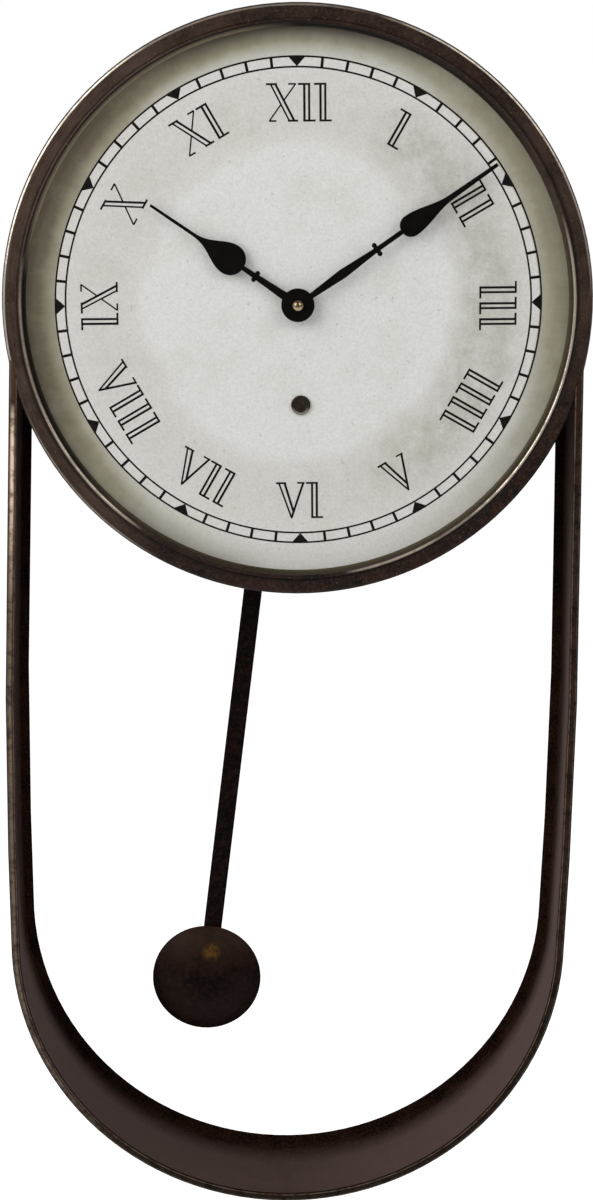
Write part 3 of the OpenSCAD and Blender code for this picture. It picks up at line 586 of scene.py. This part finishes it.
# Aged paper on hardboard: a pale print yellowed to the rim and darkened there by painted shade of the bezel,
# with a ring of smudges and small specks
dial = {
    "centre": "#e8e9e3",
    "middle": "#e2e0da",
    "smudge": "#aeaa9c",
    "warm": "#cfc6b6",
    "fleck": "#8d867a",
    "olive": "#9c977f",
    "rim": "#6e6551",
    "bezelShadow": "#43382a",
    # painted shadow of the bezel on the margin
    "board": "#6b4b33",
    "clouds": {"Scale": 1 / 38, "Detail": 4, "Roughness": 0.6},  # 38 mm
    "blotches": {"Scale": 1 / 13, "Detail": 5, "Roughness": 0.65},  # 13 mm
    "flecks": {"Scale": 1 / 1.3, "Detail": 2},  # 1.3 mm
    "scuffs": {"Scale": 1 / 4.5, "Detail": 3, "Roughness": 0.6},  # 4.5 mm
    "tooth": {"Scale": 1 / 1.6, "Detail": 3},  # 1.6 mm, the paper's own grain, coarsened to show
    "wander": 16.0,  # mm, how far the clouds push the rings of tone in and out
    "middleRamp": {"From Min": 89, "From Max": 100},  # mm from the axis
    "smudgeRing": (117, 27),  # mm, radius and half width
    "smudgeRamp": {"From Min": 0.34, "From Max": 0.68, "To Min": 0.2, "To Max": 0.75},
    "smudgeSectors": [(96, 78, 40, 1.0), (45, 30, 12, 0.9)],
    "smudgeLeast": 0.3,
    "warmRamp": {"From Min": 0.5, "From Max": 0.72, "To Max": 0.25},
    "fleckRamp": {"From Min": 0.7, "From Max": 0.77, "To Max": 0.5},
    "scuffRamp": {"From Min": 0.67, "From Max": 0.74, "To Max": 0.45},
    "toothRamp": {"From Min": 0.32, "From Max": 0.68, "To Min": 0.93, "To Max": 1.05},
    "shadeAndAge": 0.32,  # darkening of the margin, by the print's yellowing and painted shade of the bezel, then what its sides, left and top add
    "shadeAndAgeSides": 0.58,
    "shadeAndAgeLeft": 0.24,
    "shadeAndAgeTop": 0.24,
    "step": 0.38,  # share of the darkening that starts at the track's edge
    "stepSectors": [(70, 62, 32, 0.72), (270, 75, 45, 0.6)],
    "trackRamp": {"From Min": 145.6, "From Max": 147.2},  # mm from the axis
    "riseRamp": {"From Min": 147, "From Max": 157},
    "patchRamp": {"From Min": 0.3, "From Max": 0.7, "To Min": 0.88, "To Max": 1.1},
    "streakRadius": 160,  # mm
    "streakWidth": 0.9,
    "streak": {"Scale": 1.0, "Detail": 2},  # in coordinates that count streaks
    "streakRamp": {"From Min": 0.3, "From Max": 0.7, "To Min": 0.97, "To Max": 1.03},
    "oliveMost": 0.6,  # darkening at which olive is full and the rim's brown begins
    "bezelShadowSectors": [(356, 34, 14, 0.75), (205, 20, 10, 0.3)],
    "bezelShadowRamp": {"From Min": 154, "From Max": 163},
    "printFrom": 0.1,  # mm behind the face, where the paper ends
    "printTo": 0.3,
    "fibreRamp": {"From Min": 0.3, "From Max": 0.7, "To Min": 0.75, "To Max": 1.15},
    "roughRamp": {"To Min": 0.52, "To Max": 0.7},
    "relief": 0.1,  # mm
    "reliefStrength": 0.12,
}


# The print as it left the press, with what has settled on it since
def printTones(tree, place, radius, outward, cloud, blotch, flecks):
    wander = addNode(tree, "Math", {0: cloud, 1: 0.5}, operation="SUBTRACT")
    wander = addNode(tree, "Math", {0: wander, 1: dial["wander"], 2: radius}, operation="MULTIPLY_ADD")
    middle = {"Value": wander, **dial["middleRamp"]}
    middle = addNode(tree, "MapRange", middle, interpolation_type="SMOOTHSTEP")
    smudged = addNode(tree, "MapRange", {"Value": blotch, **dial["smudgeRamp"]})
    ring = nearLine(tree, wander, *dial["smudgeRing"])
    handled = inSectors(tree, outward, dial["smudgeSectors"])
    handled = joinAll(tree, "MAXIMUM", [handled, dial["smudgeLeast"]])
    smudged = joinAll(tree, "MULTIPLY", [smudged, ring, handled])
    warm = addNode(tree, "MapRange", {"Value": cloud, **dial["warmRamp"]})
    flecked = addNode(tree, "MapRange", {"Value": flecks, **dial["fleckRamp"]})
    scuffs = addNode(tree, "TexNoise", {"Vector": place, **dial["scuffs"]})
    scuffed = addNode(tree, "MapRange", {"Value": scuffs, **dial["scuffRamp"]})
    washes = [(middle, dial["middle"]), (smudged, dial["smudge"]), (warm, dial["warm"])]
    washes += [(flecked, dial["fleck"]), (scuffed, dial["smudge"])]
    colour = layWashes(tree, toLinear(dial["centre"]), washes)
    tooth = addNode(tree, "TexNoise", {"Vector": place, **dial["tooth"]})
    tooth = addNode(tree, "MapRange", {"Value": tooth, **dial["toothRamp"]})
    return addNode(tree, "VectorMath", {0: colour, "Scale": tooth}, operation="SCALE")


# How far the margin is darkened, by the print's yellowing and by painted shade of the bezel: most at the
# left, and hardly at the bottom
def marginShadeAndAge(tree, radius, outward, blotch):
    sides = addNode(tree, "SeparateXYZ", {0: outward}).outputs
    sideways = joinAll(tree, "MULTIPLY", [sides["X"], sides["X"], dial["shadeAndAgeSides"]])
    leftward = {0: sides["X"], 1: -dial["shadeAndAgeLeft"], 2: sideways}
    sideways = addNode(tree, "Math", leftward, operation="MULTIPLY_ADD")
    upward = {0: sides["Z"], 1: dial["shadeAndAgeTop"], 2: dial["shadeAndAge"]}
    shadeAndAge = addNode(tree, "Math", upward, operation="MULTIPLY_ADD")
    shadeAndAge = addNode(tree, "Math", {0: shadeAndAge, 1: sideways}, operation="ADD", use_clamp=True)
    # it starts in a step at the track's edge and then rises
    onset = joinAll(tree, "MAXIMUM", [inSectors(tree, outward, dial["stepSectors"]), dial["step"]])
    rise = {"Value": radius, **dial["riseRamp"]}
    rise = addNode(tree, "MapRange", rise, interpolation_type="SMOOTHSTEP")
    shape = addNode(tree, "MapRange", {"Value": rise, "To Min": onset})
    outside = addNode(tree, "MapRange", {"Value": radius, **dial["trackRamp"]})
    shape = joinAll(tree, "MULTIPLY", [shape, outside])
    # fine streaks along the radius, and patches
    perRadian = dial["streakRadius"] / dial["streakWidth"]
    spokes = addNode(tree, "VectorMath", {0: outward, "Scale": perRadian}, operation="SCALE")
    streaks = addNode(tree, "TexNoise", {"Vector": spokes, **dial["streak"]})
    streaky = addNode(tree, "MapRange", {"Value": streaks, **dial["streakRamp"]})
    patchy = addNode(tree, "MapRange", {"Value": blotch, **dial["patchRamp"]})
    margin = joinAll(tree, "MULTIPLY", [shadeAndAge, shape, patchy])
    return addNode(tree, "Math", {0: margin, 1: streaky}, operation="MULTIPLY", use_clamp=True)


def makeDialPaper():
    material, tree, shader, place = newMaterial("agedPaperOnHardboard")
    patterns = [{"Vector": place, **dial[key]} for key in ("clouds", "blotches", "flecks")]
    cloud, blotch, flecks = [addNode(tree, "TexNoise", pattern) for pattern in patterns]
    radius, outward = distanceFrom(tree, place), directionFrom(tree, place)
    colour = printTones(tree, place, radius, outward, cloud, blotch, flecks)
    margin = marginShadeAndAge(tree, radius, outward, blotch)
    olive = addNode(tree, "MapRange", {"Value": margin, "From Max": dial["oliveMost"]})
    darkest = addNode(tree, "MapRange", {"Value": margin, "From Min": dial["oliveMost"]})
    # painted shadow of the bezel, at the top and a little at the lower left
    shadowed = addNode(tree, "MapRange", {"Value": radius, **dial["bezelShadowRamp"]})
    shadowed = joinAll(tree, "MULTIPLY", [shadowed, inSectors(tree, outward, dial["bezelShadowSectors"])])
    washes = [(olive, dial["olive"]), (darkest, dial["rim"]), (shadowed, dial["bezelShadow"])]
    colour = layWashes(tree, colour, washes)
    # behind the print the board is bare
    depth = addNode(tree, "SeparateXYZ", {0: place}).outputs["Y"]
    limits = {"From Min": dialY + dial["printFrom"], "From Max": dialY + dial["printTo"]}
    behind = addNode(tree, "MapRange", {"Value": depth, **limits})
    fibres = addNode(tree, "MapRange", {"Value": blotch, **dial["fibreRamp"]})
    board = addNode(tree, "VectorMath", {0: toLinear(dial["board"])[:3], "Scale": fibres}, operation="SCALE")
    colour = addNode(tree, "Mix", {"Factor": behind, "A": colour, "B": board}, data_type="RGBA")
    rough = addNode(tree, "MapRange", {"Value": blotch, **dial["roughRamp"]})
    raised = {"Height": flecks, "Strength": dial["reliefStrength"], "Distance": dial["relief"] * mm}
    plugIn(tree, shader, colour=colour, roughness=rough, normal=addNode(tree, "Bump", raised))
    return material


# Plain finishes: two tones in clouds of one size, and a fine relief, sizes in mm
finishes = {
    # stoved black enamel on stamped steel: nearly black, with a soft satin shine
    "blackEnamel": {
        "tones": ("#060403", "#0d0a08"), "size": 7, "grain": 0.9,
        "roughness": (0.36, 0.46), "bump": 0.12, "metallic": 0, "specular": 0.1,
    },
    # offset ink: flat near-black with a hint of brown where the print is thin
    "printedInk": {
        "tones": ("#0b0806", "#17120e"), "size": 4, "grain": 0.6,
        "roughness": (0.5, 0.6), "bump": 0.05, "metallic": 0, "specular": 0.15,
    },
    # turned brass gone dull in the air: warm metal with brown clouds
    "tarnishedBrass": {
        "tones": ("#7d6d50", "#b3a27d"), "size": 2.5, "grain": 0.5,
        "roughness": (0.08, 0.15), "bump": 0.04, "metallic": 1, "specular": 0.5,
    },
    # bright zinc plate on cold-rolled steel: grey metal with a soft rolled grain
    "zincPlate": {
        "tones": ("#8d8f90", "#b4b6b5"), "size": 6, "grain": 0.8,
        "roughness": (0.3, 0.46), "bump": 0.12, "metallic": 1, "specular": 0.5,
    },
    # moulded ABS with a spark-eroded grain: black that scatters to dark grey
    "blackAbs": {
        "tones": ("#101112", "#1b1c1d"), "size": 20, "grain": 0.7,
        "roughness": (0.46, 0.58), "bump": 0.35, "metallic": 0, "specular": 0.5,
    },
    # moulded acetal: milky white and slightly waxy
    "whiteAcetal": {
        "tones": ("#dedcd4", "#ebe9e2"), "size": 5, "grain": 0.6,
        "roughness": (0.32, 0.42), "bump": 0.06, "metallic": 0, "specular": 0.5,
    },
    # nitrile rubber sheet: dull black
    "nitrileRubber": {
        "tones": ("#141414", "#1f1e1e"), "size": 3, "grain": 0.5,
        "roughness": (0.8, 0.92), "bump": 0.2, "metallic": 0, "specular": 0.5,
    },
    # enamelled copper wire in close turns: fine brown mottling
    "enamelledCopper": {
        "tones": ("#6a2f14", "#a0562a"), "size": 0.5, "grain": 0.3,
        "roughness": (0.26, 0.4), "bump": 0.4, "metallic": 0.8, "specular": 0.5,
    },
    # printed sleeve of a dry cell: satin slate grey
    "cellSleeve": {
        "tones": ("#2b3038", "#343a43"), "size": 12, "grain": 1.5,
        "roughness": (0.24, 0.32), "bump": 0.03, "metallic": 0.3, "specular": 0.5,
    },
    # glass-fibre board under green solder mask
    "solderMask": {
        "tones": ("#12402a", "#1a5336"), "size": 3, "grain": 0.7,
        "roughness": (0.3, 0.4), "bump": 0.15, "metallic": 0, "specular": 0.5,
    },
}
toneRamp = {"From Min": 0.35, "From Max": 0.65}
roughRamp = {"From Min": 0.3, "From Max": 0.7}
finishRelief = 0.1  # mm


def makeFinish(name, look):
    material, tree, shader, place = newMaterial(name)
    low, high = look["roughness"]
    tone = {"Vector": place, "Scale": 1 / look["size"], "Detail": 4, "Roughness": 0.6}
    tone = addNode(tree, "TexNoise", tone)
    mixed = addNode(tree, "MapRange", {"Value": tone, **toneRamp})
    colour = layWashes(tree, toLinear(look["tones"][0]), [(mixed, look["tones"][1])])
    rough = addNode(tree, "MapRange", {"Value": tone, **roughRamp, "To Min": low, "To Max": high})
    fine = addNode(tree, "TexNoise", {"Vector": place, "Scale": 1 / look["grain"], "Detail": 3})
    normal = addNode(tree, "Bump", {"Height": fine, "Strength": look["bump"], "Distance": finishRelief * mm})
    shader.inputs["Metallic"].default_value = look["metallic"]
    shader.inputs["Specular IOR Level"].default_value = look["specular"]
    plugIn(tree, shader, colour=colour, roughness=rough, normal=normal)
    return material


bronzes = {
    "bezelBronze": (bezelMarks, bronze),
    "bandBronze": (bandMarks, bandBronze),
    "bobBronze": (bobMarks, darkBronze),
    "darkBronze": (rodMarks, darkBronze),
    "eyeletBronze": (eyeletMarks, eyeletBronze),
    "plainBronze": (rodMarks, bronze),
}
made = {name: makeFinish(name, look) for name, look in finishes.items()}
for name, (marks, look) in bronzes.items():
    made[name] = makeBronze(name, marks, look)
made["dialPaper"] = makeDialPaper()
print("materials made:", len(made))

bySlot = {
    "hands": "blackEnamel", "brass": "tarnishedBrass", "zinc_steel": "zincPlate",
    "black_plastic": "blackAbs", "white_plastic": "whiteAcetal", "rubber": "nitrileRubber",
    "copper": "enamelledCopper", "cell": "cellSleeve", "circuit": "solderMask",
    "dial": "dialPaper", "bronze": "plainBronze",
}
byNode = {
    "winding_eyelet": "eyeletBronze", "bezel": "bezelBronze", "band": "bandBronze",
    "pendulum_bob": "bobBronze", "pendulum_rod": "darkBronze",
}
for name, node in nodes.items():
    for holder in node.material_slots:
        holder.material = made[byNode.get(name, bySlot[holder.material.name.split(".")[0]])]
print("frame dressed")

# Printed chapter ring and numerals: a thin layer of ink on the dial
ink = {
    "turn": -1.3,  # degrees, the print sits a little askew
    "across": 0.5,  # mm, and a little off the hands' axis
    "outer": 146.7,  # radii of the ring's two lines
    "inner": 140.6,
    "line": 1.05,
    "tick": 1.7,
    "triangle": 9.6,
    "triangleTip": 0.5,
    "capHeight": 22.6,
    "bar": 1.2,  # thick serifs
    "hair": 1.0,  # thin serifs
    "front": 0.06,  # stands this far off the dial
    "back": 0.02,  # and sinks this far in
    "segments": 240,
}
# Slab letters with an inline main stroke, in mm from their left end. Serifs and upright bars have two ends,
# and slanting strokes have two at the head and then two at the foot
glyphs = {
    "I": {"headBar": (0, 7.3), "footBar": (3.1, 10.4), "uprights": [(3.1, 4.5), (6.0, 7.3)]},
    "X": {
        "headBar": (0, 6.6), "footBar": (12.8, 18.9), "headHair": (13.2, 17.7), "footHair": (1.6, 6.0),
        "left": (2.5, 3.6, 12.8, 13.9), "right": (5.1, 6.6, 15.6, 17.1), "thin": (16.6, 17.7, 1.6, 2.7),
    },
    # a V turned over, because five to eight are printed to read upright at the foot of the dial
    "A": {
        "footBar": (11.3, 17.6), "footHair": (0, 4.6),
        "thin": (7.6, 9.0, 0.3, 1.7), "right": (7.5, 8.6, 15.0, 16.1), "inner": (6.15, 7.6, 11.4, 12.85),
        "innerDrop": 4,  # how far below the head the inner stroke starts, before it is cut by the thin one
    },
}
# Each hour's letters with their feet toward the axis, the numeral's left end and its foot's radius in mm
numerals = [
    ("XII", -18.4, 108.5), ("I", -4.4, 108.8), ("II", -9.0, 109.0),
    ("III", -12.9, 109.2), ("IIII", -20.3, 109.4), ("A", -8.7, 110.2),
    ("IA", -14.1, 109.0), ("IIA", -20.9, 109.0), ("IIIA", -22.1, 108.7),
    ("IX", -14.6, 108.9), ("X", -9.1, 109.1), ("XI", -13.1, 108.6),
]
advance = {"II": 9.6, "IX": 10.1, "IA": 11.2, "XI": 18.9}  # mm from one letter's left end to the next one's
corners, faces = [], []


# Where the line a-b meets the line c-d
def meet(a, b, c, d):
    ax, ay, bx, by, cx, cy, dx, dy = *a, *b, *c, *d
    share = ((cx - ax) * (dy - cy) - (cy - ay) * (dx - cx)) / ((bx - ax) * (dy - cy) - (by - ay) * (dx - cx))
    return ax + share * (bx - ax), ay + share * (by - ay)


# One inked shape from its outline, given counterclockwise in mm, and turned by an angle round the axis
def addInk(outline, degrees):
    angle = math.radians(degrees + ink["turn"])
    sine, cosine = math.sin(angle), math.cos(angle)
    first, count = len(corners), len(outline)
    for y in (dialY - ink["front"], dialY + ink["back"]):
        for across, out in outline:
            x = across * cosine + out * sine + ink["across"]
            corners.append((x, y, axisZ - across * sine + out * cosine))
    faces.append(tuple(range(first, first + count)))
    faces.append(tuple(range(first + 2 * count - 1, first + count - 1, -1)))
    for i in range(count):
        j = (i + 1) % count
        faces.append((first + j, first + i, first + count + i, first + count + j))


def addBar(ends, low, high, degrees):
    addInk([(ends[0], low), (ends[1], low), (ends[1], high), (ends[0], high)], degrees)


# A slanting stroke's outline: left end at the head, both at the foot, right end at the head
def stroke(left, ends, head, foot):
    return [(left + ends[0], head), (left + ends[2], foot), (left + ends[3], foot), (left + ends[1], head)]


def addGlyph(letter, left, foot, degrees):
    glyph, head = glyphs[letter], foot + ink["capHeight"]
    barHead, barFoot = head - ink["bar"], foot + ink["bar"]
    hairHead, hairFoot = head - ink["hair"], foot + ink["hair"]
    bars = [(glyph.get("headBar"), barHead, head), (glyph.get("footBar"), foot, barFoot)]
    bars += [(glyph.get("headHair"), hairHead, head), (glyph.get("footHair"), foot, hairFoot)]
    bars += [(ends, barFoot, barHead) for ends in glyph.get("uprights", [])]
    for ends, low, high in bars:
        if ends:
            addBar([left + end for end in ends], low, high, degrees)
    if letter == "X":
        near, far = [stroke(left, glyph[side], barHead, barFoot) for side in ("left", "right")]
        thin = stroke(left, glyph["thin"], hairHead, hairFoot)
        addInk(near, degrees)
        addInk(far, degrees)
        # the thin stroke stops at both sides of the inline one
        upper = [meet(*thin[:2], far[3], far[2]), meet(thin[3], thin[2], far[3], far[2])]
        lower = [meet(thin[3], thin[2], *near[:2]), meet(*thin[:2], *near[:2])]
        addInk([*upper, thin[3], thin[0]], degrees)
        addInk([thin[1], thin[2], *lower], degrees)
    if letter == "A":
        thin, far = stroke(left, glyph["thin"], head, hairFoot), stroke(left, glyph["right"], head, barFoot)
        inner = stroke(left, glyph["inner"], head - glyph["innerDrop"], barFoot)
        edge = thin[3], thin[2]
        addInk([thin[1], thin[2], meet(*edge, *far[:2]), far[1], far[2], far[3], thin[0]], degrees)
        addInk([meet(*edge, *inner[:2]), inner[1], inner[2], meet(*edge, inner[3], inner[2])], degrees)


# One of the chapter ring's two lines, a flat strip of ink
def addRing(radius):
    first, count = len(corners), ink["segments"]
    section = [(-ink["front"], -0.5), (-ink["front"], 0.5), (ink["back"], 0.5), (ink["back"], -0.5)]
    for i in range(count):
        angle = math.radians(i * 360 / count)
        for y, off in section:
            reach = radius + off * ink["line"]
            x = reach * math.sin(angle) + ink["across"]
            corners.append((x, dialY + y, axisZ + reach * math.cos(angle)))
    for i in range(count):
        here, after = first + 4 * i, first + 4 * ((i + 1) % count)
        for k in range(4):
            m = (k + 1) % 4
            faces.append((here + k, here + m, after + m, after + k))


for hour, (letters, left, foot) in enumerate(numerals):
    for i, letter in enumerate(letters):
        addGlyph(letter, left, foot, 30 * hour)
        left += advance.get(letters[i:i + 2], 0)
low, high = ink["inner"] + ink["line"] / 2, ink["outer"] - ink["line"] / 2
for minute in range(60):
    if minute % 5:
        addBar((-ink["tick"] / 2, ink["tick"] / 2), low, high, 6 * minute)
    else:
        tip, wide = ink["triangleTip"] / 2, ink["triangle"] / 2
        addInk([(-tip, low), (tip, low), (wide, high), (-wide, high)], 6 * minute)
addRing(ink["inner"])
addRing(ink["outer"])
mesh = bpy.data.meshes.new("dialPrint")
mesh.from_pydata([tuple(c * mm for c in corner) for corner in corners], [], faces)
mesh.validate()
mesh.materials.append(made["printedInk"])
dialPrint = bpy.data.objects.new("dialPrint", mesh)
bpy.context.scene.collection.objects.link(dialPrint)
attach(dialPrint, "case")
print("dial printed:", len(faces), "faces")
